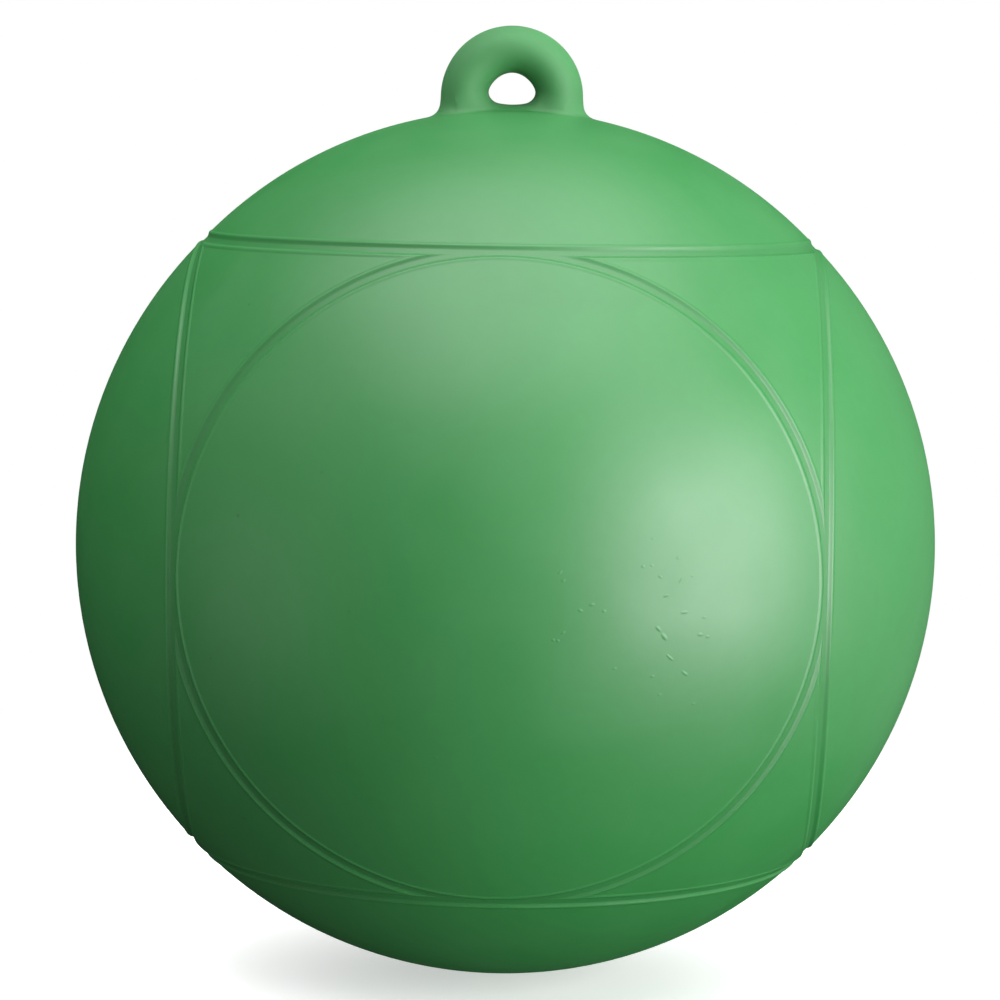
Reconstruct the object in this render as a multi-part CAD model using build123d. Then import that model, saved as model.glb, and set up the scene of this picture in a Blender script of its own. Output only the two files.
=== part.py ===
"""Slalom buoy: a hollow moulded vinyl ball with six touching circular grooves, a solid
rope eye on its crown and a screw-closed inflation valve in its base.

Millimetres. +Z up through the rope eye, +X across the eye, and the rope passes along Y.
The origin is the centre of the ball, where the water stands on a moored buoy.
"""

import os
from math import cos, radians, sin, sqrt, tan

from build123d import *

# Ball
BALL_D = 216.0  # outside diameter over the smooth panels
WALL = 3.0  # vinyl thickness under those panels

# Grooves: one circle round each end of the X, Y and Z axes
GROOVE_ANGLE = 45.0  # from the axis to the groove, so that neighbouring circles touch
GROOVE_FLOOR = 1.4  # width of the bottom
GROOVE_DEPTH = 0.5
GROOVE_SIDE_ANGLE = 56.0  # lean of each side away from the radius through the groove

# Swellings of the ball at its two poles
CROWN_RISE = 1.05  # pole of the panel that carries the rope eye, above the ball
BOSS_RISE = 0.9  # pole of the dome round the valve, below the ball
BOSS_MARGIN = 8.0  # from the rim of the valve seat to the edge of that dome

# Rope eye
EYE_OUTER_R = 17.8
EYE_HOLE_R = 6.1
EYE_CENTRE_RISE = 3.15  # centre of the arch above the crown
EYE_THICKNESS = 16.0  # along the hole
SILL_RISE = 1.35  # floor of the hole above the crown
SILL_THICKNESS = 14.0  # along the hole
SILL_ROUND = 3.0  # height of the sill's rounded top
EYE_FLARE_R = 2.6  # where legs, sill and crown run into each other
EYE_SEAT_MARGIN = 6.2  # from the arch to the edge of the plug that fills the crown
EYE_FLANGE_LAP = 5.0  # of the plug's flange, behind the wall
EYE_FLANGE_T = 3.0

# Inflation valve
SCREW_HEAD_R = 6.0
SCREW_HEAD_T = 2.4  # at the rim
SCREW_SHANK_R = 3.6
SCREW_SHANK_L = 14.0
SCREW_TIP_R = 2.4
SCREW_TIP_L = 2.0
SCREW_PLAY = 0.1  # between the screw and its seat, all round
SLOT_W = 1.6
SLOT_DEPTH = 1.4
SEAT_RIM = 4.9  # flange outside the screw's pocket
SEAT_FLANGE_T = 1.8  # at the rim
SEAT_WALL = 3.8  # round the shank, inside the ball's wall
SEAT_FOOT_LAP = 2.5  # foot that holds the seat from inside
SEAT_FOOT_T = 2.5
SEAT_STEM_WALL = 2.8  # the stem is as long as the screw that it holds
PAD_MARGIN = 4.0  # of the thick pad inside the ball, round the seat's flange
PAD_T = 6.0

BALL_R = BALL_D / 2
BORE_R = BALL_R - WALL
CORE_R = BALL_R - GROOVE_DEPTH
PANEL_FOOT_R = CORE_R - GROOVE_DEPTH / 2  # the panels are sunk this far into the core
REACH = BALL_D  # longer than anything that it cuts
SEAM_TURN = 20.0  # keeps the seams of round faces away from the places where grooves touch

EYE_SEAT_R = EYE_OUTER_R + EYE_SEAT_MARGIN
EYE_FLANGE_R = EYE_SEAT_R + EYE_FLANGE_LAP

POCKET_R = SCREW_HEAD_R + SCREW_PLAY
SHANK_BORE_R = SCREW_SHANK_R + SCREW_PLAY
SEAT_FLANGE_R = POCKET_R + SEAT_RIM
SEAT_NECK_R = SHANK_BORE_R + SEAT_WALL
SEAT_FOOT_R = SEAT_NECK_R + SEAT_FOOT_LAP
SEAT_STEM_R = SHANK_BORE_R + SEAT_STEM_WALL
BOSS_R = SEAT_FLANGE_R + BOSS_MARGIN
PAD_R = SEAT_FLANGE_R + PAD_MARGIN
PAD_TOP = -BORE_R + PAD_T


def dome(edge_r, rise):
    """Distance of the centre from the ball's centre, and radius, of the sphere that leaves
    the ball at a circle of radius edge_r and stands rise above the ball at the pole."""
    edge_z = sqrt(BALL_R**2 - edge_r**2)
    pole_z = BALL_R + rise
    centre = (pole_z**2 - BALL_R**2) / (2 * (pole_z - edge_z))
    return centre, pole_z - centre


CROWN_CENTRE, CROWN_R = dome(BALL_R * sin(radians(GROOVE_ANGLE)), CROWN_RISE)
BOSS_CENTRE, BOSS_SPHERE_R = dome(BOSS_R, BOSS_RISE)
CROWN_Z = CROWN_CENTRE + CROWN_R


def boss_z(r):
    """Height of the valve's dome at distance r from its pole."""
    return -BOSS_CENTRE - sqrt(BOSS_SPHERE_R**2 - r**2)


SEAT_FLANGE_Z = boss_z(SEAT_FLANGE_R) + SEAT_FLANGE_T
HEAD_SEAT_Z = boss_z(SCREW_HEAD_R) + SCREW_HEAD_T
SHANK_END_Z = HEAD_SEAT_Z + SCREW_SHANK_L
SCREW_END_Z = SHANK_END_Z + SCREW_TIP_L


def post(radius, low, high):
    """Round post on the Z axis between two heights."""
    return Pos(0, 0, (low + high) / 2) * Cylinder(radius, high - low)


def crown_sphere():
    return Pos(0, 0, CROWN_CENTRE) * Sphere(CROWN_R)


def boss_sphere():
    return Pos(0, 0, -BOSS_CENTRE) * Sphere(BOSS_SPHERE_R)


def groove_side(side, up):
    """Point on a side of the groove round +Z, up from its floor. Side -1 is the one
    nearer to the axis and side 1 the one further from it."""
    angle = radians(GROOVE_ANGLE)
    out = Vector(sin(angle), 0, cos(angle))
    across = Vector(cos(angle), 0, -sin(angle))
    offset = GROOVE_FLOOR / 2 + up * tan(radians(GROOVE_SIDE_ANGLE))
    return out * (CORE_R + up) + across * (side * offset)


def end_of_ball(side):
    """All that lies between a side of the groove round +Z and the axis."""
    low = groove_side(side, -GROOVE_DEPTH)
    high = groove_side(side, 2 * GROOVE_DEPTH + CROWN_RISE)
    section = Polyline((0, 0, low.Z), low, high, (high.X, 0, REACH), (0, 0, REACH), close=True)
    return Rot(0, 0, SEAM_TURN) * revolve(make_face(section), Axis.Z)


def corner_panel():
    """Curved triangle between the grooves round +X, +Y and +Z."""
    panel = Sphere(BALL_R) & Pos(REACH / 2, REACH / 2, REACH / 2) * Box(REACH, REACH, REACH)
    for turn in [(0, 0, 0), (0, 90, 0), (-90, 0, 0)]:
        panel -= Rot(*turn) * end_of_ball(1)
    return panel - Sphere(PANEL_FOOT_R)


def grooved_ball():
    """Core as deep as the grooves, with six round panels and eight corner panels on it."""
    core = Rot(SEAM_TURN, SEAM_TURN, 0) * Sphere(CORE_R)
    round_panel = (Sphere(BALL_R) & end_of_ball(-1)) - Sphere(PANEL_FOOT_R)
    crown_panel = (crown_sphere() & end_of_ball(-1)) - Sphere(PANEL_FOOT_R)
    panels = [crown_panel]
    # Turns that carry +Z to the other five ends of the axes
    for turn in [(180, 0, 0), (90, 0, 0), (-90, 0, 0), (0, 90, 0), (0, -90, 0)]:
        panels.append(Rot(*turn) * round_panel)
    corner = corner_panel()
    for flip in (0, 180):
        for quarter in (0, 90, 180, 270):
            panels.append(Rot(flip, 0, quarter) * corner)
    return core + panels + boss_sphere()


def float_shell():
    """Hollow ball with a thick pad inside round the valve, open at its two seats."""
    hollow = Sphere(BORE_R) - post(PAD_R, -REACH, PAD_TOP)
    shell = grooved_ball() - hollow
    shell -= post(EYE_SEAT_R, 0, REACH)
    shell -= post(SEAT_NECK_R, -REACH, 0)
    shell -= post(SEAT_FLANGE_R, -REACH, SEAT_FLANGE_Z)
    return shell


def rope_eye():
    """Arch and sill, flared onto the plug that is flanged behind the ball's wall."""
    centre_z = CROWN_Z + EYE_CENTRE_RISE
    mid_r = (EYE_OUTER_R + EYE_HOLE_R) / 2
    section = Ellipse((EYE_OUTER_R - EYE_HOLE_R) / 2, EYE_THICKNESS / 2)
    right = Pos(mid_r, 0, centre_z) * section
    left = Pos(-mid_r, 0, centre_z) * section
    hoop = revolve(right, Axis((0, 0, centre_z), (0, -1, 0)), 180)
    leg_l = centre_z - BORE_R
    legs = extrude(right, -leg_l) + extrude(left, -leg_l)
    sill_z = CROWN_Z + SILL_RISE - SILL_ROUND
    sill_section = Plane.YZ * Pos(0, sill_z) * Ellipse(SILL_THICKNESS / 2, SILL_ROUND)
    sill = Pos(-mid_r, 0, 0) * extrude(sill_section, 2 * mid_r)
    plug = crown_sphere() & post(EYE_SEAT_R, 0, REACH)
    flange = Sphere(BORE_R) & post(EYE_FLANGE_R, 0, REACH)
    base = plug + flange - Sphere(BORE_R - EYE_FLANGE_T)
    eye = hoop + legs + sill + base
    # The seams where rounded forms cross are the only free-form edges of the eye
    return fillet(eye.edges().filter_by(GeomType.BSPLINE), EYE_FLARE_R)


def valve_seat():
    """Grommet: flange flush with the dome, neck through the wall, foot and stem inside."""
    foot_top = PAD_TOP + SEAT_FOOT_T
    seat = boss_sphere() & post(SEAT_FLANGE_R, -REACH, SEAT_FLANGE_Z)
    seat += post(SEAT_NECK_R, SEAT_FLANGE_Z, PAD_TOP)
    seat += post(SEAT_FOOT_R, PAD_TOP, foot_top)
    seat += post(SEAT_STEM_R, foot_top, SCREW_END_Z)
    seat -= post(POCKET_R, -REACH, HEAD_SEAT_Z)
    seat -= post(SHANK_BORE_R, -REACH, REACH)
    return seat


def valve_screw():
    """Slotted screw with a domed head that finishes the ball's outline."""
    screw = boss_sphere() & post(SCREW_HEAD_R, -REACH, HEAD_SEAT_Z)
    screw += post(SCREW_SHANK_R, HEAD_SEAT_Z, SHANK_END_Z)
    tip_z = (SHANK_END_Z + SCREW_END_Z) / 2
    screw += Pos(0, 0, tip_z) * Cone(SCREW_SHANK_R, SCREW_TIP_R, SCREW_TIP_L)
    slot_top = boss_z(0) + SLOT_DEPTH
    screw -= Pos(0, 0, slot_top - REACH / 2) * Box(2 * POCKET_R, SLOT_W, REACH)
    return screw


NODES = {
    "float_shell": float_shell,
    "rope_eye": rope_eye,
    "valve_seat": valve_seat,
    "valve_screw": valve_screw,
}

os.makedirs("parts", exist_ok=True)
for node, make in NODES.items():
    export_step(make(), f"parts/{node}.step")
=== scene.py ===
"""Looks of a slalom buoy: a moulded green vinyl ball with touching circular grooves, a rope
eye that flares out of its crown and a screw-closed valve in its base, on a pale floor."""

from math import atan2, cos, radians, sin, sqrt

import bmesh
import bpy
import numpy as np
from bpy.props import FloatProperty, FloatVectorProperty, IntProperty, PointerProperty
from mathutils import Matrix, Vector


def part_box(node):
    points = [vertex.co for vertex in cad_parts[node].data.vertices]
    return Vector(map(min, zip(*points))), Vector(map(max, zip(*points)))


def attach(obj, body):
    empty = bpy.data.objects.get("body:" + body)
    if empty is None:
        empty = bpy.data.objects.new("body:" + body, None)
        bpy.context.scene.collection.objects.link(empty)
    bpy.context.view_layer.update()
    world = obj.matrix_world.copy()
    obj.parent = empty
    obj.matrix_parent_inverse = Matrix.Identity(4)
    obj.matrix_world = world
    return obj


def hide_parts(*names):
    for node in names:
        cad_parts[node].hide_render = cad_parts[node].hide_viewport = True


bl_info = {
    "name": "Slalom buoy",
    "version": (1, 0, 0),
    "blender": (4, 5, 0),
    "location": "View3D > Sidebar > Buoy",
    "description": "Builds a moulded vinyl slalom buoy round its CAD solids",
    "category": "Object",
}

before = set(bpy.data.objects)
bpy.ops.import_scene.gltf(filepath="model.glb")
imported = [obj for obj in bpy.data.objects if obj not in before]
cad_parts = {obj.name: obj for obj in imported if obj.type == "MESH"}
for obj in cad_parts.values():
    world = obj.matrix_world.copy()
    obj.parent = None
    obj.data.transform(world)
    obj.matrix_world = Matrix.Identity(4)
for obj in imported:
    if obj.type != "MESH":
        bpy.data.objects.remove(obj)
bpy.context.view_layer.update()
MM = 0.001

BODY = "root"
BALL_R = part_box("float_shell")[1].x
EYE_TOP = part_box("rope_eye")[1].z
VALVE_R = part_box("valve_seat")[1].x
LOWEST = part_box("valve_screw")[0].z
SCREW_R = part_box("valve_screw")[1].x

# Fine points of the meshes
DOME_BLEND = 0.2 * MM  # where the valve's dome leaves the ball
WELD = 0.02 * MM  # joins the faces of the ball where they meet
OUTER_GROOVE_SHARE = 0.7  # most of the way to the next face that a groove's rows take up
SILL_BOW_LIMIT = 1.2  # the sill stops rising inside the legs
EYE_DULL_HEIGHT = 1.2 * MM  # above the crown, where the eye is fully dull
SHARP_ANGLE = radians(40)
POCKET_LIP = 1.2 * MM  # wall behind the outer rim of the valve's seat
POCKET_FLOOR_SHARE = 0.6  # of the screw's head, where the floor of its pocket ends
SLOT_EDGE = 0.1 * MM  # half the width that each wall of the screw's slot takes up
SCREW_ROW_GAP = 0.05 * MM  # least distance from that wall to the next row
SCREW_WELD = 0.001 * MM
SEAT_ROWS = 40  # across the seat's flange
SLOT_WALL_ROWS = 7
SCREW_ROWS = 26  # across half the head, before the slot's walls take some up
SCREW_COLUMNS = 41
SETTLE_STEPS = 4
RELAX_STEPS = 6
EYE_RIM_CELLS = 1.5  # between the eye's net and the edge of its round of the crown
MARK_SINK = 0.1  # share of its rise that the edge of a mark lies inside the skin

# Fine points of the finishes
MOULDED_IOR = 1.75
# Painted shade: the floors of the grooves are darkened in colour, as shade falls in them
GROOVE_PAINTED_SHADE = 0.12
GROOVE_PAINTED_SHADE_TONE = 0.35  # colour of the painted shade on a groove's floor, as a share of the vinyl's
PINHOLE_SHADE = 0.5
PINHOLE_DARKNESS = 0.5
PINHOLE_DEPTH = 1.5  # in grain heights
SHEEN_DRIFT = 0.16  # change of roughness over the ripple
EYE_DULLNESS = 0.3  # more roughness on the eye

# Room and floor, in metres
ROOM_LIGHT = 0.36
FLOOR_HALF = 4.0
FLOOR_DROP = 0.3 * MM  # below the buoy
FLOOR_FADE = (0.12, 0.45)  # from the buoy's axis, where the floor runs into the white


# Settings

class BallSettings(bpy.types.PropertyGroup):
    """Form of the ball and of the grooves moulded round the six ends of its axes."""

    radius: FloatProperty(
        name="Radius", description="Ball over its smooth panels",
        default=BALL_R, unit="LENGTH", precision=4)
    crown_rise: FloatProperty(
        name="Crown rise", description="Pole of the panel under the eye, above the ball",
        default=1.05 * MM, unit="LENGTH", precision=5)
    boss_radius: FloatProperty(
        name="Valve dome radius", description="Edge of the low dome round the valve",
        default=VALVE_R + 8 * MM, unit="LENGTH", precision=4)
    boss_rise: FloatProperty(
        name="Valve dome rise", description="Pole of that dome, below the ball",
        default=-LOWEST - BALL_R, unit="LENGTH", precision=5)
    groove_angle: FloatProperty(
        name="Groove angle", description="From an axis to its groove",
        default=radians(45), subtype="ANGLE")
    groove_floor: FloatProperty(
        name="Groove floor", description="From the middle of a groove to the foot of its side",
        default=0.6 * MM, unit="LENGTH", precision=5)
    groove_reach: FloatProperty(
        name="Groove reach", description="From the middle of a groove to its rim",
        default=1.7 * MM, unit="LENGTH", precision=5)
    groove_depth: FloatProperty(
        name="Groove depth", description="Below the panels",
        default=0.37 * MM, unit="LENGTH", precision=5)
    lip_place: FloatProperty(
        name="Lip place",
        description="From the middle of a groove to the top of the bead along its rim",
        default=1.95 * MM, unit="LENGTH", precision=5)
    lip_reach: FloatProperty(
        name="Lip reach", description="Half the width of that bead",
        default=0.8 * MM, unit="LENGTH", precision=5)
    lip_rise: FloatProperty(
        name="Lip rise", description="Height of that bead above the panels",
        default=0.17 * MM, unit="LENGTH", precision=5)
    spokes: IntProperty(
        name="Spokes", description="Mesh divisions round each groove, a multiple of 8", default=240)
    groove_rows: IntProperty(
        name="Groove rows", description="Mesh rows across half a groove and its bead", default=14)
    panel_rows: IntProperty(
        name="Panel rows", description="Mesh rows across half a round panel", default=22)
    corner_rows: IntProperty(
        name="Corner rows", description="Mesh rows across a corner panel", default=6)


class EyeSettings(bpy.types.PropertyGroup):
    """Form of the rope eye."""

    outer_radius: FloatProperty(
        name="Outer radius", description="Outside of the arch",
        default=17.8 * MM, unit="LENGTH", precision=4)
    hole_radius: FloatProperty(
        name="Hole radius", description="Inside of the arch",
        default=6.1 * MM, unit="LENGTH", precision=4)
    hole_point: FloatProperty(
        name="Hole point", description="How far the shoulders of the hole are drawn in",
        default=0.14 * MM, unit="LENGTH", precision=5)
    thickness: FloatProperty(
        name="Thickness", description="Along the hole", default=16 * MM, unit="LENGTH", precision=4)
    leg_lean: FloatProperty(
        name="Leg lean", description="Outward lean of the legs below the arch", default=0.07)
    sill_rise: FloatProperty(
        name="Sill rise", description="Floor of the hole above the crown",
        default=1.35 * MM, unit="LENGTH", precision=5)
    sill_thickness: FloatProperty(
        name="Sill thickness", description="Along the hole",
        default=14 * MM, unit="LENGTH", precision=4)
    sill_round: FloatProperty(
        name="Sill round", description="Height of the sill's rounded top",
        default=3 * MM, unit="LENGTH", precision=5)
    sill_bow: FloatProperty(
        name="Sill bow", description="Rise of the sill from its middle to the legs",
        default=1.0 * MM, unit="LENGTH", precision=5)
    flare: FloatProperty(
        name="Flare", description="Reach of the blend at the foot of the legs",
        default=3.2 * MM, unit="LENGTH", precision=5)
    sill_flare: FloatProperty(
        name="Sill flare", description="Reach of the blend at the foot of the sill",
        default=1.4 * MM, unit="LENGTH", precision=5)
    seat_radius: FloatProperty(
        name="Seat radius", description="Edge of the eye's own round of the crown",
        default=24 * MM, unit="LENGTH", precision=4)
    cell: FloatProperty(
        name="Cell", description="Size of the mesh cells",
        default=0.62 * MM, unit="LENGTH", precision=5)


class ValveSettings(bpy.types.PropertyGroup):
    """Form of the outer face of the inflation valve."""

    seat_radius: FloatProperty(
        name="Seat radius", description="Rim of the seat's flange",
        default=VALVE_R, unit="LENGTH", precision=5)
    head_radius: FloatProperty(
        name="Head radius", description="Rim of the screw's head",
        default=SCREW_R, unit="LENGTH", precision=5)
    head_thickness: FloatProperty(
        name="Head thickness", description="At the rim",
        default=2.4 * MM, unit="LENGTH", precision=5)
    play: FloatProperty(
        name="Play", description="Between the screw's head and its pocket",
        default=0.1 * MM, unit="LENGTH", precision=5)
    slot_width: FloatProperty(
        name="Slot width", description="Across the screw's slot",
        default=1.6 * MM, unit="LENGTH", precision=5)
    slot_depth: FloatProperty(
        name="Slot depth", description="Below the middle of the head",
        default=1.4 * MM, unit="LENGTH", precision=5)
    edge_round: FloatProperty(
        name="Edge round", description="Rounding of the rims",
        default=0.35 * MM, unit="LENGTH", precision=5)
    spokes: IntProperty(name="Spokes", description="Mesh divisions round the seat", default=120)


class FinishSettings(bpy.types.PropertyGroup):
    """Colours of the vinyl and of the valve."""

    vinyl: FloatVectorProperty(
        name="Vinyl", description="Green of the moulded vinyl",
        default=(0.022, 0.199, 0.042), subtype="COLOR", size=3)
    vinyl_roughness: FloatProperty(
        name="Vinyl roughness", description="Satin of the moulded skin",
        default=0.46, subtype="FACTOR")
    nylon: FloatVectorProperty(
        name="Nylon", description="Colour of the valve screw",
        default=(0.62, 0.62, 0.57), subtype="COLOR", size=3)


class StageSettings(bpy.types.PropertyGroup):
    """Place and framing of the camera."""

    distance: FloatProperty(
        name="Camera distance", description="In ball radii from the ball's centre", default=8.8)
    azimuth: FloatProperty(
        name="Azimuth", description="Camera's turn to the right round the buoy",
        default=radians(1.1), subtype="ANGLE")
    elevation: FloatProperty(
        name="Elevation", description="Camera's height above level",
        default=radians(6.5), subtype="ANGLE")
    roll: FloatProperty(
        name="Roll", description="Turn of the picture", default=radians(0.85), subtype="ANGLE")
    image_size: FloatProperty(
        name="Image size", description="Pixels across the square picture", default=1000)
    centre_x: FloatProperty(
        name="Centre x", description="Pixel where the ball's centre falls", default=505.3)
    centre_y: FloatProperty(
        name="Centre y", description="Pixel where the ball's centre falls", default=543.25)
    ball_pixels: FloatProperty(
        name="Ball pixels", description="Radius of the ball's outline", default=429.6)


# Forms

def dome(ball_r, edge_r, rise):
    """Distance of the centre from the ball's centre, and radius, of the sphere that leaves
    the ball at a circle of radius edge_r and stands rise proud of it at the pole."""
    edge_z = sqrt(ball_r**2 - edge_r**2)
    pole_z = ball_r + rise
    centre = (pole_z**2 - ball_r**2) / (2 * (pole_z - edge_z))
    return centre, pole_z - centre


def crown_dome(ball):
    return dome(ball.radius, ball.radius * sin(ball.groove_angle), ball.crown_rise)


def swell(value, reach):
    """1 at zero, easing to 0 at reach to either side."""
    return 0.5 + 0.5 * np.cos(np.pi * np.clip(value / reach, -1, 1))


def ease(share):
    """Smooth step from 0 to 1."""
    return share**2 * (3 - 2 * share)


def full_turn(spokes):
    """Angles of evenly spaced spokes."""
    return 2 * np.pi * np.arange(spokes) / spokes


def soft_union(a, b, reach):
    """Smaller of two distances, rounded where they are nearly equal."""
    near = np.maximum(reach - np.abs(a - b), 0) / reach
    return np.minimum(a, b) - near * near * reach / 4


def unit(vectors):
    return vectors / np.linalg.norm(vectors, axis=-1, keepdims=True)


class BallSkin:
    """Outside of the ball, as a distance from its centre in every direction."""

    def __init__(self, ball):
        self.ball = ball
        self.crown = crown_dome(ball)
        self.boss = dome(ball.radius, ball.boss_radius, ball.boss_rise)

    def panels(self, directions):
        """Distance to the smooth panels, with the swellings at the two poles."""
        up = directions[:, 2]
        level = 1 - up**2
        centre, radius = self.crown
        crown = centre * up + np.sqrt(radius**2 - centre**2 * level)
        centre, radius = self.boss
        boss = -centre * up + np.sqrt(radius**2 - centre**2 * level)
        plain = np.full(len(up), self.ball.radius)
        return -soft_union(-np.maximum(plain, crown), -boss, DOME_BLEND)

    def from_groove(self, directions):
        """Distance along the ball to the middle of the nearest groove."""
        polar = np.arccos(np.clip(np.abs(directions), 0, 1))
        return self.ball.radius * np.min(np.abs(polar - self.ball.groove_angle), axis=1)

    def groove(self, directions):
        """1 on the floor of a groove, 0 on the panels."""
        ball = self.ball
        inset = ball.groove_reach - self.from_groove(directions)
        return ease(np.clip(inset / (ball.groove_reach - ball.groove_floor), 0, 1))

    def lip(self, directions):
        """1 on top of the bead along the rim of a groove."""
        return swell(self.from_groove(directions) - self.ball.lip_place, self.ball.lip_reach)

    def radius(self, directions):
        ball = self.ball
        sunk = ball.groove_depth * self.groove(directions)
        return self.panels(directions) - sunk + ball.lip_rise * self.lip(directions)

    def points(self, directions):
        return directions * self.radius(directions)[:, None]

    def normals(self, directions):
        """Normals of the skin, from points a little to each side."""
        step = 2e-4
        helper = np.where(np.abs(directions[:, 2:]) < 0.9, [[0, 0, 1.0]], [[1.0, 0, 0]])
        east = unit(np.cross(helper, directions))
        north = np.cross(directions, east)

        def chord(way):
            ahead, behind = unit(directions + step * way), unit(directions - step * way)
            return self.points(ahead) - self.points(behind)

        return unit(np.cross(chord(east), chord(north)))


class EyeField:
    """Signed distance, about, to the eye on the crown."""

    def __init__(self, ball, eye):
        self.eye = eye
        self.crown_centre, self.crown_r = crown_dome(ball)
        self.crown_top = self.crown_centre + self.crown_r
        self.centre_z = EYE_TOP - eye.outer_radius

    @staticmethod
    def oval(across, along, half_across, half_along):
        """Distance to an oval, right near its edge."""
        share = np.sqrt((across / half_across) ** 2 + (along / half_along) ** 2)
        slope = np.sqrt((across / half_across**2) ** 2 + (along / half_along**2) ** 2)
        return share * (share - 1) / np.maximum(slope, 1e-9)

    def __call__(self, points):
        eye = self.eye
        x, y, z = points[..., 0], points[..., 1], points[..., 2]
        crown = np.sqrt(x**2 + y**2 + (z - self.crown_centre) ** 2) - self.crown_r
        mid_r = (eye.outer_radius + eye.hole_radius) / 2
        half_width = (eye.outer_radius - eye.hole_radius) / 2
        up = z - self.centre_z
        in_arch = np.sqrt(x**2 + np.maximum(up, 0) ** 2) - mid_r
        in_legs = np.abs(x) - mid_r - eye.leg_lean * np.maximum(-up, 0)
        across = np.where(up > 0, in_arch, in_legs)
        shoulder = np.sin(2 * np.arctan2(np.maximum(up, 0), np.abs(x))) ** 2
        half_width = half_width + np.where(across < 0, eye.hole_point * shoulder, 0)
        arch = self.oval(across, y, half_width, eye.thickness / 2)
        bow = eye.sill_bow * np.minimum((x / eye.hole_radius) ** 2, SILL_BOW_LIMIT)
        sill_z = self.crown_top + eye.sill_rise - eye.sill_round + bow
        sill = self.oval(y, z - sill_z, eye.sill_thickness / 2, eye.sill_round)
        sill = np.maximum(sill, np.abs(x) - mid_r)
        base = soft_union(crown, sill, eye.sill_flare)
        return soft_union(base, arch, eye.flare)

    def slope(self, points):
        step = 0.02 * MM
        parts = []
        for axis in np.eye(3) * step:
            parts.append((self(points + axis) - self(points - axis)) / (2 * step))
        return np.stack(parts, -1)

    def settle(self, points):
        """Moves points onto the surface."""
        for _ in range(SETTLE_STEPS):
            slope = self.slope(points)
            shift = self(points) / np.maximum(np.sum(slope**2, -1), 1e-6)
            points = points - slope * shift[:, None]
        return points


def surface_net(values, low, cell):
    """Vertices and quads of the zero surface in a grid of values, with one vertex in each
    cell that the surface crosses."""
    inside = values < 0
    cells = np.array(values.shape) - 1
    total = np.zeros((*cells, 3))
    count = np.zeros(cells)

    def corner(offset):
        return values[tuple(slice(o, o + n) for o, n in zip(offset, cells))]

    for start in np.ndindex(2, 2, 2):
        for axis in range(3):
            if start[axis]:
                continue
            along = np.eye(3, dtype=int)[axis]
            first, last = corner(start), corner(np.array(start) + along)
            crossed = (first < 0) != (last < 0)
            share = np.where(crossed, first / np.where(crossed, first - last, 1), 0)
            total += (np.array(start) + share[..., None] * along) * crossed[..., None]
            count += crossed
    used = count > 0
    number = np.full(cells, -1)
    number[used] = np.arange(used.sum())
    vertices = low + cell * (np.argwhere(used) + total[used] / count[used][:, None])
    quads = []
    for axis in range(3):
        along, right, up = (np.eye(3, dtype=int)[(axis + k) % 3] for k in range(3))
        first = inside.take(range(cells[axis]), axis)
        last = inside.take(range(1, cells[axis] + 1), axis)
        spots = np.argwhere(first != last)
        ok = np.ones(len(spots), bool)
        for k in ((axis + 1) % 3, (axis + 2) % 3):
            ok &= (spots[:, k] > 0) & (spots[:, k] < cells[k])
        spots = spots[ok]
        ring = [number[tuple((spots - s).T)] for s in (right + up, up, 0 * up, right)]
        ring = np.stack(ring, -1)
        outward = first[tuple(spots.T)]
        quads.append(np.where(outward[:, None], ring, ring[:, ::-1]))
    return vertices, np.concatenate(quads)


def relax(field, points, quads):
    """Evens out the spacing of a net of points along the surface."""
    pairs = np.concatenate([quads[:, [k, (k + 1) % 4]] for k in range(4)])
    pairs = np.unique(np.sort(pairs, 1), axis=0)
    for _ in range(RELAX_STEPS):
        total = np.zeros_like(points)
        count = np.zeros(len(points))
        for a, b in ((0, 1), (1, 0)):
            np.add.at(total, pairs[:, a], points[pairs[:, b]])
            np.add.at(count, pairs[:, a], 1)
        linked = count > 3
        halfway = 0.5 * (points + total / np.maximum(count, 1)[:, None])
        points = np.where(linked[:, None], halfway, points)
        points = field.settle(points)
    return points


# Meshes

def face_turns():
    """For each end of an axis, the three directions that its face of the mesh is laid out in:
    towards the first spoke, a quarter turn on, and out through the end."""
    x, y, z = np.eye(3)
    return {"top": (x, y, z), "base": (x, -y, -z), "right": (y, z, x), "left": (z, y, -x),
            "back": (z, x, y), "front": (x, z, -y)}


def polar_rows(ball, start):
    """Angles from the axis, as rows by spokes: across the round panel from start, through the
    groove, and on to the planes half way to the neighbouring axes."""
    turn = full_turn(ball.spokes)
    steps = np.linspace(0, (ball.lip_place + ball.lip_reach) / ball.radius, ball.groove_rows + 1)
    angle = ball.groove_angle
    panel = np.linspace(start, angle - steps[-1], ball.panel_rows, endpoint=False)
    inner = np.concatenate([panel, angle - steps[::-1]])
    inner = np.repeat(inner[:, None], ball.spokes, 1)
    limit = np.arctan(1 / np.maximum(np.abs(np.cos(turn)), np.abs(np.sin(turn)))) - angle
    squeeze = np.minimum(1, OUTER_GROOVE_SHARE * limit / steps[-1])
    near = angle + steps[1:, None] * squeeze
    shares = np.linspace(0, 1, ball.corner_rows + 1)[1:, None]
    far = near[-1] + shares * (angle + limit - near[-1])
    return np.concatenate([inner, near, far]), turn


def grid_quads(rows, spokes, first):
    """Quads of a grid that closes round its spokes."""
    number = first + np.arange(rows * spokes).reshape(rows, spokes)
    after = np.roll(number, -1, 1)
    quads = np.stack([number[:-1], number[1:], after[1:], after[:-1]], -1)
    return quads.reshape(-1, 4)


def new_object(name, mesh, material):
    mesh.materials.append(material)
    piece = bpy.data.objects.new(name, mesh)
    bpy.context.scene.collection.objects.link(piece)
    return piece


def smooth(mesh):
    mesh.polygons.foreach_set("use_smooth", np.ones(len(mesh.polygons), bool))
    mesh.update()


def shade(mesh, normals):
    """Smooth shading with the surface's own normals."""
    smooth(mesh)
    mesh.normals_split_custom_set_from_vertices(normals)
    mesh.update()


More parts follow.
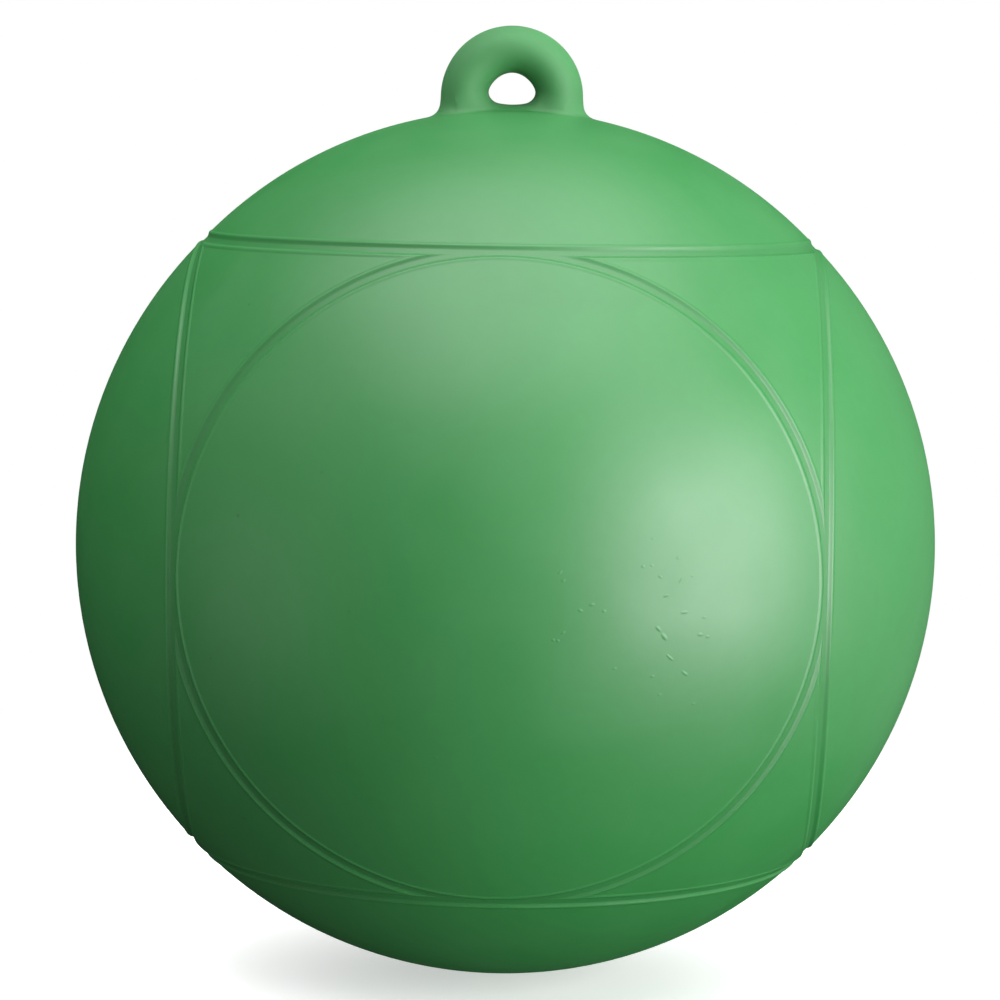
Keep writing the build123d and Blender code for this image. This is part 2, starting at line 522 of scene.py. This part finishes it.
def shade_by_angle(mesh):
    smooth(mesh)
    mesh.set_sharp_from_angle(angle=SHARP_ANGLE)
    mesh.update()


def vertex_array(mesh):
    flat = np.zeros(3 * len(mesh.vertices))
    mesh.vertices.foreach_get("co", flat)
    return flat.reshape(-1, 3)


def seat_angle(ball, seat_radius):
    """Angle from the axis to the edge of the eye's own round of the crown."""
    centre, radius = crown_dome(ball)
    return atan2(seat_radius, centre + sqrt(radius**2 - seat_radius**2))


def ball_mesh(ball, eye):
    """Skin of the ball, open under the eye and round the valve."""
    skin = BallSkin(ball)
    vertices, quads, triangles = [], [], []
    count = 0
    starts = {"top": seat_angle(ball, eye.seat_radius), "base": VALVE_R / ball.radius}
    for end, (first, second, out) in face_turns().items():
        polar, turn = polar_rows(ball, starts.get(end, ball.groove_angle / ball.panel_rows))
        level = np.sin(polar)[..., None]
        directions = level * (np.cos(turn)[:, None] * first + np.sin(turn)[:, None] * second)
        directions = directions + np.cos(polar)[..., None] * out
        vertices.append(directions.reshape(-1, 3))
        quads.append(grid_quads(*polar.shape, count))
        if end not in starts:
            ring = count + np.arange(ball.spokes)
            pole = np.full(ball.spokes, count + polar.size)
            triangles.append(np.stack([pole, ring, np.roll(ring, -1)], -1))
            vertices.append(out[None])
            count += 1
        count += polar.size
    directions = unit(np.concatenate(vertices))
    faces = [*np.concatenate(quads).tolist(), *np.concatenate(triangles).tolist()]
    mesh = bpy.data.meshes.new("ball_skin")
    mesh.from_pydata(skin.points(directions), [], faces)
    # The faces meet at shared edges, and their rows run together where two grooves touch
    work = bmesh.new()
    work.from_mesh(mesh)
    bmesh.ops.remove_doubles(work, verts=work.verts, dist=WELD)
    work.to_mesh(mesh)
    work.free()
    directions = unit(vertex_array(mesh))
    mesh.vertices.foreach_set("co", skin.points(directions).ravel())
    depth = mesh.attributes.new("groove", "FLOAT", "POINT")
    depth.data.foreach_set("value", skin.groove(directions))
    shade(mesh, skin.normals(directions))
    return mesh


def eye_mesh(ball, eye):
    """Eye and its round of the crown, whose edge has the same points as the ball's opening."""
    field = EyeField(ball, eye)
    rim_angle = seat_angle(ball, eye.seat_radius)
    rim_z = field.crown_centre + sqrt(field.crown_r**2 - eye.seat_radius**2)
    margin = 2 * eye.cell
    low = np.array([-eye.seat_radius - margin, -eye.seat_radius - margin, rim_z - margin])
    high = np.array([eye.seat_radius + margin, eye.seat_radius + margin, EYE_TOP + margin])
    counts = np.ceil((high - low) / eye.cell).astype(int) + 1
    axes = [low[k] + eye.cell * np.arange(counts[k]) for k in range(3)]
    grid = np.stack(np.meshgrid(*axes, indexing="ij"), -1)
    points, quads = surface_net(field(grid), low, eye.cell)
    points = field.settle(points)
    kept = np.hypot(points[:, 0], points[:, 1]) < eye.seat_radius - EYE_RIM_CELLS * eye.cell
    quads = quads[kept[quads].all(1)]
    points = relax(field, points, quads)
    mesh = bpy.data.meshes.new("rope_eye_skin")
    mesh.from_pydata(points, [], quads.tolist())
    work = bmesh.new()
    work.from_mesh(mesh)
    loose = [v for v in work.verts if not v.link_faces]
    bmesh.ops.delete(work, geom=loose, context="VERTS")
    inner = [e for e in work.edges if e.is_boundary]
    turn = full_turn(ball.spokes)
    skin = BallSkin(ball)
    rim = np.stack([sin(rim_angle) * np.cos(turn), sin(rim_angle) * np.sin(turn),
                    np.full(len(turn), cos(rim_angle))], -1)
    ring = [work.verts.new(p) for p in skin.points(rim)]
    outer = [work.edges.new((a, b)) for a, b in zip(ring, ring[1:] + ring[:1])]
    bmesh.ops.bridge_loops(work, edges=inner + outer)
    bmesh.ops.recalc_face_normals(work, faces=work.faces)
    work.to_mesh(mesh)
    work.free()
    points = vertex_array(mesh)
    # The eye is duller than the ball
    dull = mesh.attributes.new("dull", "FLOAT", "POINT")
    above = np.linalg.norm(points - [0, 0, field.crown_centre], axis=1) - field.crown_r
    dull.data.foreach_set("value", np.clip(above / EYE_DULL_HEIGHT, 0, 1))
    shade(mesh, unit(field.slope(points)))
    return mesh


def boss_height(ball, r):
    """Height of the dome round the valve, at distances from its pole."""
    centre, radius = dome(ball.radius, ball.boss_radius, ball.boss_rise)
    return -centre - np.sqrt(radius**2 - r**2)


def rounded_edge(inset, reach):
    """How far a rounded edge falls away from its face, at distances in from the rim."""
    short = np.clip(1 - inset / reach, 0, 1)
    return reach * (1 - np.sqrt(1 - short**2))


def seat_mesh(ball, valve):
    """Flange of the seat between its two rounded rims, and the pocket for the screw's head."""
    pocket_r = valve.head_radius + valve.play
    shares = 0.5 - 0.5 * np.cos(np.linspace(0, np.pi, SEAT_ROWS))
    r = valve.seat_radius + (pocket_r - valve.seat_radius) * shares
    inset = np.minimum(valve.seat_radius - r, r - pocket_r)
    z = boss_height(ball, r) + rounded_edge(inset, valve.edge_round)
    foot = boss_height(ball, valve.head_radius) + valve.head_thickness
    r = np.array([valve.seat_radius, *r, pocket_r, POCKET_FLOOR_SHARE * valve.head_radius])
    z = np.array([z[0] + POCKET_LIP, *z, foot, foot])
    turn = full_turn(valve.spokes)
    rows = [np.outer(r, np.cos(turn)), np.outer(r, np.sin(turn)),
            np.repeat(z[:, None], valve.spokes, 1)]
    mesh = bpy.data.meshes.new("valve_seat_skin")
    quads = grid_quads(len(r), valve.spokes, 0)
    mesh.from_pydata(np.stack(rows, -1).reshape(-1, 3), [], quads.tolist())
    shade_by_angle(mesh)
    return mesh


def screw_mesh(ball, valve):
    """Domed head of the screw with its slot, laid out in rows along the slot."""
    walls = valve.slot_width / 2 + SLOT_EDGE * np.linspace(-1, 1, SLOT_WALL_ROWS)
    plain = valve.head_radius * np.sin(np.linspace(0, np.pi / 2, SCREW_ROWS))
    half = np.concatenate([[0, walls[0] / 2], walls, plain[plain > walls[-1] + SCREW_ROW_GAP]])
    rows = np.concatenate([-half[:0:-1], half])
    shares = np.sin(np.linspace(-np.pi / 2, np.pi / 2, SCREW_COLUMNS))
    y = np.repeat(rows[:, None], len(shares), 1)
    x = shares * np.sqrt(np.maximum(valve.head_radius**2 - y**2, 0))
    r = np.minimum(np.hypot(x, y), valve.head_radius)
    z = boss_height(ball, r) + rounded_edge(valve.head_radius - r, valve.edge_round)
    floor = boss_height(ball, 0) + valve.slot_depth
    in_slot = np.clip((walls[-1] - np.abs(y)) / (walls[-1] - walls[0]), 0, 1)
    z = z + ease(in_slot) * np.maximum(floor - z, 0)
    number = np.arange(y.size).reshape(y.shape)
    quads = [number[:-1, :-1], number[1:, :-1], number[1:, 1:], number[:-1, 1:]]
    quads = np.stack(quads, -1).reshape(-1, 4)
    mesh = bpy.data.meshes.new("valve_screw_skin")
    mesh.from_pydata(np.stack([x, y, z], -1).reshape(-1, 3), [], quads.tolist())
    work = bmesh.new()
    work.from_mesh(mesh)
    bmesh.ops.remove_doubles(work, verts=work.verts, dist=SCREW_WELD)
    rim = [e for e in work.edges if e.is_boundary]
    side = bmesh.ops.extrude_edge_only(work, edges=rim)["geom"]
    foot = boss_height(ball, valve.head_radius) + valve.head_thickness
    for item in side:
        if isinstance(item, bmesh.types.BMVert):
            item.co.z = foot
    work.to_mesh(mesh)
    work.free()
    shade_by_angle(mesh)
    return mesh


# Small raised marks left by the mould: turn to the right of the front and height on the ball,
# in degrees, length, width and rise in millimetres, and lean in degrees
MARK_COLUMNS = ("turn", "height", "length", "width", "rise", "lean")
MARKS = [
    (7.7, 3.1, 1.6, 0.8, 0.06, 40),
    (8.1, 2.1, 1.3, 0.8, 0.05, 30),
    (10.2, -1.5, 1.4, 0.9, 0.05, -20),
    (11.6, -0.8, 1.7, 0.9, 0.06, 10),
    (13.1, -1.6, 1.2, 1.0, 0.05, 0),
    (7, -5.1, 1.0, 0.9, 0.06, 0),
    (7.6, -5.2, 1.0, 0.9, 0.06, 0),
    (8.2, -4.2, 1.4, 0.8, 0.05, 35),
    (14.7, -8.7, 1.3, 0.8, 0.05, 20),
    (20, -3.9, 1.9, 1.0, 0.08, -45),
    (20.8, -4.9, 2.4, 1.2, 0.09, -50),
    (20.9, 0.1, 1.8, 0.8, 0.06, 15),
    (21.7, -7.5, 2.6, 0.9, 0.08, -40),
    (23.9, -9.6, 2.4, 0.9, 0.07, -35),
    (25.6, -4.8, 1.6, 1.0, 0.07, 0),
    (26.6, -5.1, 1.2, 0.9, 0.06, 0),
    (23.3, -2, 2.2, 0.9, 0.07, 5),
    (26, -2.7, 1.3, 0.8, 0.05, 0),
    (19.2, 7, 1.2, 0.8, 0.04, 0),
    (22.4, 4.6, 1.2, 0.9, 0.05, 20),
    (17.9, 3.7, 1.1, 0.9, 0.05, 0),
    (19, 3.8, 1.1, 0.8, 0.05, 0),
    (20.1, 2.4, 1.4, 0.8, 0.05, -30),
    (22.8, 1.9, 2.2, 0.7, 0.05, 60),
    (24.3, 2.4, 1.1, 0.8, 0.04, 0),
    (19.6, -9.8, 1.2, 0.8, 0.05, 10),
    (20.8, -12.2, 1.1, 0.8, 0.04, 0),
    (25.6, -13.6, 1.1, 0.8, 0.04, 0),
    (-7.5, -20.5, 1.3, 0.8, 0.05, -10),
    (-16.3, -42.4, 1.4, 0.9, 0.06, -25),
    (-15.6, -43.6, 1.2, 0.8, 0.06, -20),
    (-20, -41.6, 1.2, 0.7, 0.05, -30),
]
MARK_SPOKES = 14
MARK_RINGS = (1.0, 0.86, 0.7, 0.52, 0.34, 0.14)


def mark_points(skin, turn, height, length, width, rise, lean):
    """Rings of points of one low oval mark, from its edge in the skin to its top."""
    turn, height, lean = radians(turn), radians(height), radians(lean)
    out = np.array([sin(turn) * cos(height), -cos(turn) * cos(height), sin(height)])
    east = np.array([cos(turn), sin(turn), 0])
    along = cos(lean) * east + sin(lean) * np.cross(out, east)
    across = np.cross(out, along)
    around = full_turn(MARK_SPOKES)[:, None]
    oval = MM / 2 * (length * np.cos(around) * along + width * np.sin(around) * across)
    rings = []
    for share in MARK_RINGS:
        base = skin.points(unit(skin.ball.radius * out + share * oval))
        rings.append(base + (1 - share**2) ** 2 * rise * MM * out)
    # The edge lies just inside the skin
    rings[0] = rings[0] - MARK_SINK * rise * MM * out
    return np.concatenate(rings)


def marks_mesh(ball):
    skin = BallSkin(ball)
    vertices, faces = [], []
    count = 0
    for row in MARKS:
        points = mark_points(skin, **dict(zip(MARK_COLUMNS, row)))
        quads = grid_quads(len(MARK_RINGS), MARK_SPOKES, count)
        faces += quads[:, ::-1].tolist()
        count += len(points)
        faces.append(list(range(count - MARK_SPOKES, count)))
        vertices.append(points)
    mesh = bpy.data.meshes.new("mould_marks")
    mesh.from_pydata(np.concatenate(vertices), [], faces)
    smooth(mesh)
    return mesh


# Finishes

def link(tree, source, target):
    tree.links.new(source, target)


def new_node(tree, kind, **values):
    """New node with its properties set."""
    node = tree.nodes.new(kind)
    for name, value in values.items():
        setattr(node, name, value)
    return node


def new_group(name, inputs, outputs):
    """Empty shader node group with named sockets, and its two end nodes."""
    group = bpy.data.node_groups.new(name, "ShaderNodeTree")
    for socket, kind, default in inputs:
        made = group.interface.new_socket(socket, in_out="INPUT", socket_type=kind)
        if default is not None:
            made.default_value = default
    for socket, kind in outputs:
        group.interface.new_socket(socket, in_out="OUTPUT", socket_type=kind)
    return group, group.nodes.new("NodeGroupInput"), group.nodes.new("NodeGroupOutput")


def noise(tree, vector, scale, detail):
    node = new_node(tree, "ShaderNodeTexNoise")
    node.inputs["Detail"].default_value = detail
    link(tree, vector, node.inputs["Vector"])
    if isinstance(scale, (int, float)):
        node.inputs["Scale"].default_value = scale
    else:
        link(tree, scale, node.inputs["Scale"])
    return node.outputs["Fac"]


def math_node(tree, operation, first, second, clamp=False):
    node = new_node(tree, "ShaderNodeMath", operation=operation, use_clamp=clamp)
    for socket, value in zip(node.inputs, (first, second)):
        if isinstance(value, (int, float)):
            socket.default_value = value
        else:
            link(tree, value, socket)
    return node.outputs[0]


def ranged(tree, value, low, high, to_low, to_high):
    node = new_node(tree, "ShaderNodeMapRange", interpolation_type="SMOOTHSTEP")
    link(tree, value, node.inputs["Value"])
    ends = {"From Min": low, "From Max": high, "To Min": to_low, "To Max": to_high}
    for name, number in ends.items():
        node.inputs[name].default_value = number
    return node.outputs[0]


def mixed(tree, share, first, second):
    """Mix of two colours. A Mix node has its colours on inputs 6 and 7 and on output 2."""
    node = new_node(tree, "ShaderNodeMix", data_type="RGBA")
    link(tree, share, node.inputs[0])
    for socket, value in ((node.inputs[6], first), (node.inputs[7], second)):
        if isinstance(value, tuple):
            socket.default_value = (*value, 1)
        else:
            link(tree, value, socket)
    return node.outputs[2]


def red_of(tree, colour):
    node = new_node(tree, "ShaderNodeSeparateColor")
    link(tree, colour, node.inputs[0])
    return node.outputs[0]


def moulded_grain_group():
    """Skin of a polished mould: fine grain over a slow ripple."""
    group, start, end = new_group(
        "moulded_grain",
        [("Vector", "NodeSocketVector", None), ("Grain per metre", "NodeSocketFloat", 900.0),
         ("Ripple per metre", "NodeSocketFloat", 60.0)],
        [("Height", "NodeSocketFloat"), ("Sheen", "NodeSocketFloat")],
    )
    grain = noise(group, start.outputs["Vector"], start.outputs["Grain per metre"], detail=1.0)
    ripple = noise(group, start.outputs["Vector"], start.outputs["Ripple per metre"], detail=1.0)
    height = math_node(group, "ADD", math_node(group, "MULTIPLY", grain, 0.35), ripple)
    link(group, height, end.inputs["Height"])
    link(group, math_node(group, "SUBTRACT", ripple, 0.5), end.inputs["Sheen"])
    return group


def colour_drift_group():
    """Slow drift of a moulded colour, lighter and darker."""
    group, start, end = new_group(
        "colour_drift",
        [("Vector", "NodeSocketVector", None), ("Colour", "NodeSocketColor", (0.5, 0.5, 0.5, 1)),
         ("Amount", "NodeSocketFloat", 0.1)],
        [("Colour", "NodeSocketColor")],
    )
    slow = noise(group, start.outputs["Vector"], scale=14.0, detail=2.0)
    fine = noise(group, start.outputs["Vector"], scale=420.0, detail=0.0)
    slow = math_node(group, "SUBTRACT", slow, 0.5)
    fine = math_node(group, "SUBTRACT", fine, 0.5)
    both = math_node(group, "ADD", slow, math_node(group, "MULTIPLY", fine, 0.35))
    change = math_node(group, "MULTIPLY", both, start.outputs["Amount"])
    value = math_node(group, "ADD", change, 1.0)
    tint = new_node(group, "ShaderNodeHueSaturation")
    link(group, start.outputs["Colour"], tint.inputs["Color"])
    link(group, value, tint.inputs["Value"])
    link(group, tint.outputs["Color"], end.inputs["Colour"])
    return group


def pinhole_group():
    """Sparse pinholes and specks left by the mould."""
    group, start, end = new_group(
        "pinholes",
        [("Vector", "NodeSocketVector", None), ("Cells per metre", "NodeSocketFloat", 150.0),
         ("Share", "NodeSocketFloat", 0.05)],
        [("Mask", "NodeSocketFloat")],
    )
    cells = new_node(group, "ShaderNodeTexVoronoi")
    link(group, start.outputs["Vector"], cells.inputs["Vector"])
    link(group, start.outputs["Cells per metre"], cells.inputs["Scale"])
    chance = red_of(group, cells.outputs["Color"])
    chosen = math_node(group, "LESS_THAN", chance, start.outputs["Share"])
    dot = ranged(group, cells.outputs["Distance"], 0.03, 0.09, 1.0, 0.0)
    link(group, math_node(group, "MULTIPLY", chosen, dot), end.inputs["Mask"])
    return group


def shared_group(name, make):
    return bpy.data.node_groups.get(name) or make()


def place_group(tree, group, vector, **values):
    node = new_node(tree, "ShaderNodeGroup", node_tree=group)
    link(tree, vector, node.inputs["Vector"])
    for name, value in values.items():
        node.inputs[name.replace("_", " ")].default_value = value
    return node


def moulded_material(name, colour, roughness, grain, grain_height, drift, pinholes, specular,
                     from_mesh):
    """Satin moulded plastic with colour drift, grain and pinholes. With from_mesh, it is darker
    with painted shade in the grooves, and duller on the eye, where the mesh says so."""
    material = bpy.data.materials.new(name)
    material.use_nodes = True
    tree = material.node_tree
    shader = tree.nodes["Principled BSDF"]
    shader.inputs["IOR"].default_value = MOULDED_IOR
    shader.inputs["Specular IOR Level"].default_value = specular
    vector = new_node(tree, "ShaderNodeTexCoord").outputs["Object"]
    skin = place_group(tree, shared_group("moulded_grain", moulded_grain_group), vector,
                       Grain_per_metre=grain)
    tone = place_group(tree, shared_group("colour_drift", colour_drift_group), vector, Amount=drift)
    tone.inputs["Colour"].default_value = (*colour, 1)
    holes = place_group(tree, shared_group("pinholes", pinhole_group), vector, Share=pinholes)
    holes = holes.outputs["Mask"]
    tint = tone.outputs["Colour"]
    rough = math_node(tree, "MULTIPLY", skin.outputs["Sheen"], SHEEN_DRIFT)
    rough = math_node(tree, "ADD", rough, roughness)
    if from_mesh:
        # Painted shade: the floors of the grooves are darkened in colour
        groove = new_node(tree, "ShaderNodeAttribute", attribute_name="groove").outputs["Fac"]
        tint = mixed(tree, math_node(tree, "MULTIPLY", groove, GROOVE_PAINTED_SHADE), tint,
                     tuple(GROOVE_PAINTED_SHADE_TONE * c for c in colour))
        dull = new_node(tree, "ShaderNodeAttribute", attribute_name="dull").outputs["Fac"]
        dull = math_node(tree, "MULTIPLY", dull, EYE_DULLNESS)
        rough = math_node(tree, "ADD", dull, rough, clamp=True)
    tint = mixed(tree, math_node(tree, "MULTIPLY", holes, PINHOLE_SHADE), tint,
                 tuple(PINHOLE_DARKNESS * c for c in colour))
    link(tree, tint, shader.inputs["Base Color"])
    link(tree, rough, shader.inputs["Roughness"])
    sunk = math_node(tree, "MULTIPLY", holes, PINHOLE_DEPTH)
    height = math_node(tree, "SUBTRACT", skin.outputs["Height"], sunk)
    bump = new_node(tree, "ShaderNodeBump")
    bump.inputs["Distance"].default_value = grain_height
    bump.inputs["Strength"].default_value = 1.0
    link(tree, height, bump.inputs["Height"])
    link(tree, bump.outputs["Normal"], shader.inputs["Normal"])
    return material


def vinyl_material(finish):
    found = bpy.data.materials.get("moulded_vinyl")
    return found or moulded_material(
        "moulded_vinyl", tuple(finish.vinyl), finish.vinyl_roughness, grain=1100.0,
        grain_height=0.02 * MM, drift=0.16, pinholes=0.05, specular=0.8, from_mesh=True)


def nylon_material(finish):
    found = bpy.data.materials.get("moulded_nylon")
    return found or moulded_material(
        "moulded_nylon", tuple(finish.nylon), roughness=0.42, grain=2600.0,
        grain_height=0.01 * MM, drift=0.08, pinholes=0.02, specular=0.5, from_mesh=False)


# Stage

def camera_axes(stage):
    """Directions to the right of, up in and out of the picture."""
    level = cos(stage.elevation)
    back = Vector((sin(stage.azimuth) * level, -cos(stage.azimuth) * level, sin(stage.elevation)))
    right = Vector((cos(stage.azimuth), sin(stage.azimuth), 0))
    up = back.cross(right)
    turn = Matrix.Rotation(stage.roll, 3, back)
    return turn @ right, turn @ up, back


def focal_pixels(stage):
    return stage.ball_pixels * sqrt(stage.distance**2 - 1)


# Softbox lights round the ball: turn to the right of the front and height, in degrees, distance
# and size in metres, power in watts, and whether the light shows in the sheen. The last one
# shines up through the floor, as the light that a pale floor throws back.
LIGHT_COLUMNS = ("name", "turn", "height", "distance", "size", "power", "in_sheen")
LIGHTS = [
    ("key_softbox", 54, 4, 1.3, 1.1, 14.6, True),
    ("key_wash", 54, 5, 1.3, 0.9, 7.4, False),
    ("top_softbox", 16, 77, 1.3, 1.7, 14.0, True),
    ("top_wash", -20, 75, 1.3, 1.8, 12.5, False),
    ("left_softbox", -62, -6, 1.3, 0.7, 0.7, True),
    ("right_wash", 110, 60, 1.6, 1.5, 11.0, False),
    ("left_wash", -85, 45, 1.6, 1.5, 10.0, False),
    ("back_wash", 180, 30, 1.6, 1.5, 16.0, False),
    ("right_softbox", 118, 7, 1.6, 2.2, 5.0, True),
    ("floor_bounce", 52, -20, 1.6, 1.5, 9.8, False),
]


def add_light(name, turn, height, distance, size, power, in_sheen):
    data = bpy.data.lights.new(name, "AREA")
    data.shape = "SQUARE"
    data.size = size
    data.energy = power
    light = bpy.data.objects.new(name, data)
    bpy.context.scene.collection.objects.link(light)
    turn, height = radians(turn), radians(height)
    out = Vector((sin(turn) * cos(height), -cos(turn) * cos(height), sin(height)))
    light.location = out * distance
    light.rotation_mode = "QUATERNION"
    light.rotation_quaternion = out.to_track_quat("Z", "Y")
    light.visible_camera = False
    light.visible_glossy = in_sheen


def add_camera(stage, ball):
    right, up, back = camera_axes(stage)
    focal = focal_pixels(stage)
    distance = stage.distance * ball.radius
    half = stage.image_size / 2
    per_pixel = distance / focal
    aim = right * ((half - stage.centre_x) * per_pixel) + up * ((stage.centre_y - half) * per_pixel)
    place = back * distance
    out = (place - aim).normalized()
    side = up.cross(out).normalized()
    data = bpy.data.cameras.new("photo_camera")
    data.sensor_width = 36
    data.lens = data.sensor_width * focal / stage.image_size
    camera = bpy.data.objects.new("photo_camera", data)
    bpy.context.scene.collection.objects.link(camera)
    axes = Matrix((side, out.cross(side), out)).transposed()
    camera.matrix_world = Matrix.Translation(place) @ axes.to_4x4()
    bpy.context.scene.camera = camera


def floor_material():
    """Pale floor that can be looked through from below."""
    material = bpy.data.materials.new("pale_floor")
    material.use_nodes = True
    tree = material.node_tree
    shader = tree.nodes["Principled BSDF"]
    shader.inputs["Base Color"].default_value = (0.8, 0.8, 0.8, 1)
    shader.inputs["Roughness"].default_value = 0.9
    shader.inputs["Emission Color"].default_value = (1, 1, 1, 1)
    shader.inputs["Emission Strength"].default_value = 0.5
    # The floor runs into the white of the room away from the buoy
    away = new_node(tree, "ShaderNodeVectorMath", operation="LENGTH")
    link(tree, new_node(tree, "ShaderNodeTexCoord").outputs["Object"], away.inputs[0])
    white = new_node(tree, "ShaderNodeEmission")
    fade = new_node(tree, "ShaderNodeMixShader")
    link(tree, ranged(tree, away.outputs["Value"], *FLOOR_FADE, 0.0, 1.0), fade.inputs[0])
    link(tree, shader.outputs[0], fade.inputs[1])
    link(tree, white.outputs[0], fade.inputs[2])
    through = new_node(tree, "ShaderNodeBsdfTransparent")
    side = new_node(tree, "ShaderNodeMixShader")
    link(tree, new_node(tree, "ShaderNodeNewGeometry").outputs["Backfacing"], side.inputs[0])
    link(tree, fade.outputs[0], side.inputs[1])
    link(tree, through.outputs[0], side.inputs[2])
    link(tree, side.outputs[0], tree.nodes["Material Output"].inputs["Surface"])
    return material


def add_world():
    """White to the camera, dim to the buoy."""
    world = bpy.data.worlds.new("studio")
    bpy.context.scene.world = world
    world.use_nodes = True
    tree = world.node_tree
    seen = tree.nodes["Background"]
    seen.inputs["Color"].default_value = (1, 1, 1, 1)
    room = new_node(tree, "ShaderNodeBackground")
    room.inputs["Color"].default_value = (1, 1, 1, 1)
    room.inputs["Strength"].default_value = ROOM_LIGHT
    world.cycles_visibility.glossy = False
    chosen = new_node(tree, "ShaderNodeMixShader")
    link(tree, new_node(tree, "ShaderNodeLightPath").outputs["Is Camera Ray"], chosen.inputs[0])
    link(tree, room.outputs[0], chosen.inputs[1])
    link(tree, seen.outputs[0], chosen.inputs[2])
    link(tree, chosen.outputs[0], tree.nodes["World Output"].inputs["Surface"])


# Operators

class BUOY_OT_make_ball(bpy.types.Operator):
    """Make the grooved skin of the ball"""

    bl_idname = "buoy.make_ball"
    bl_label = "Ball"

    def execute(self, context):
        scene = context.scene
        mesh = ball_mesh(scene.buoy_ball, scene.buoy_eye)
        piece = new_object("ball_skin", mesh, vinyl_material(scene.buoy_finish))
        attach(piece, BODY)
        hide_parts("float_shell")
        return {"FINISHED"}


class BUOY_OT_make_eye(bpy.types.Operator):
    """Make the rope eye"""

    bl_idname = "buoy.make_eye"
    bl_label = "Rope eye"

    def execute(self, context):
        scene = context.scene
        mesh = eye_mesh(scene.buoy_ball, scene.buoy_eye)
        piece = new_object("rope_eye_skin", mesh, vinyl_material(scene.buoy_finish))
        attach(piece, BODY)
        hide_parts("rope_eye")
        return {"FINISHED"}


class BUOY_OT_make_marks(bpy.types.Operator):
    """Make the small marks that the mould left on the ball"""

    bl_idname = "buoy.make_marks"
    bl_label = "Mould marks"

    def execute(self, context):
        scene = context.scene
        mesh = marks_mesh(scene.buoy_ball)
        piece = new_object("mould_marks", mesh, vinyl_material(scene.buoy_finish))
        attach(piece, BODY)
        return {"FINISHED"}


class BUOY_OT_make_valve(bpy.types.Operator):
    """Make the seat and the screw of the inflation valve"""

    bl_idname = "buoy.make_valve"
    bl_label = "Valve"

    def execute(self, context):
        scene = context.scene
        ball, valve, finish = scene.buoy_ball, scene.buoy_valve, scene.buoy_finish
        seat = new_object("valve_seat_skin", seat_mesh(ball, valve), vinyl_material(finish))
        screw = new_object("valve_screw_skin", screw_mesh(ball, valve), nylon_material(finish))
        made = ((seat, "valve_seat", "green_vinyl"), (screw, "valve_screw", "white_nylon"))
        for piece, node, slot in made:
            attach(piece, BODY)
            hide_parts(node)
        return {"FINISHED"}


class BUOY_OT_set_stage(bpy.types.Operator):
    """Set the floor, the lights and the camera"""

    bl_idname = "buoy.set_stage"
    bl_label = "Stage"

    def execute(self, context):
        scene = context.scene
        half, level = FLOOR_HALF, LOWEST - FLOOR_DROP
        mesh = bpy.data.meshes.new("floor")
        corners = [(-half, -half, level), (half, -half, level),
                   (half, half, level), (-half, half, level)]
        mesh.from_pydata(corners, [], [(0, 1, 2, 3)])
        floor = new_object("floor", mesh, floor_material())
        floor.visible_diffuse = False
        floor.visible_glossy = False
        floor.visible_shadow = False
        for row in LIGHTS:
            add_light(**dict(zip(LIGHT_COLUMNS, row)))
        add_world()
        add_camera(scene.buoy_stage, scene.buoy_ball)
        scene.view_settings.view_transform = "Standard"
        return {"FINISHED"}


class BUOY_PT_sidebar(bpy.types.Panel):
    """Buoy tools"""

    bl_label = "Slalom buoy"
    bl_idname = "BUOY_PT_sidebar"
    bl_space_type = "VIEW_3D"
    bl_region_type = "UI"
    bl_category = "Buoy"

    def draw(self, context):
        for operator in OPERATORS:
            self.layout.operator(operator.bl_idname)
        for name in SETTINGS:
            box = self.layout.box()
            group = getattr(context.scene, name)
            for prop in group.__annotations__:
                box.prop(group, prop)


SETTINGS = {
    "buoy_ball": BallSettings,
    "buoy_eye": EyeSettings,
    "buoy_valve": ValveSettings,
    "buoy_finish": FinishSettings,
    "buoy_stage": StageSettings,
}
OPERATORS = (
    BUOY_OT_make_ball,
    BUOY_OT_make_eye,
    BUOY_OT_make_marks,
    BUOY_OT_make_valve,
    BUOY_OT_set_stage,
)


def register():
    for name, group in SETTINGS.items():
        bpy.utils.register_class(group)
        setattr(bpy.types.Scene, name, PointerProperty(type=group))
    for item in (*OPERATORS, BUOY_PT_sidebar):
        bpy.utils.register_class(item)


def unregister():
    for item in (BUOY_PT_sidebar, *reversed(OPERATORS)):
        bpy.utils.unregister_class(item)
    for name, group in SETTINGS.items():
        delattr(bpy.types.Scene, name)
        bpy.utils.unregister_class(group)


def main():
    register()
    bpy.ops.buoy.make_ball()
    bpy.ops.buoy.make_eye()
    bpy.ops.buoy.make_marks()
    bpy.ops.buoy.make_valve()
    bpy.ops.buoy.set_stage()


if __name__ == "__main__":
    main()
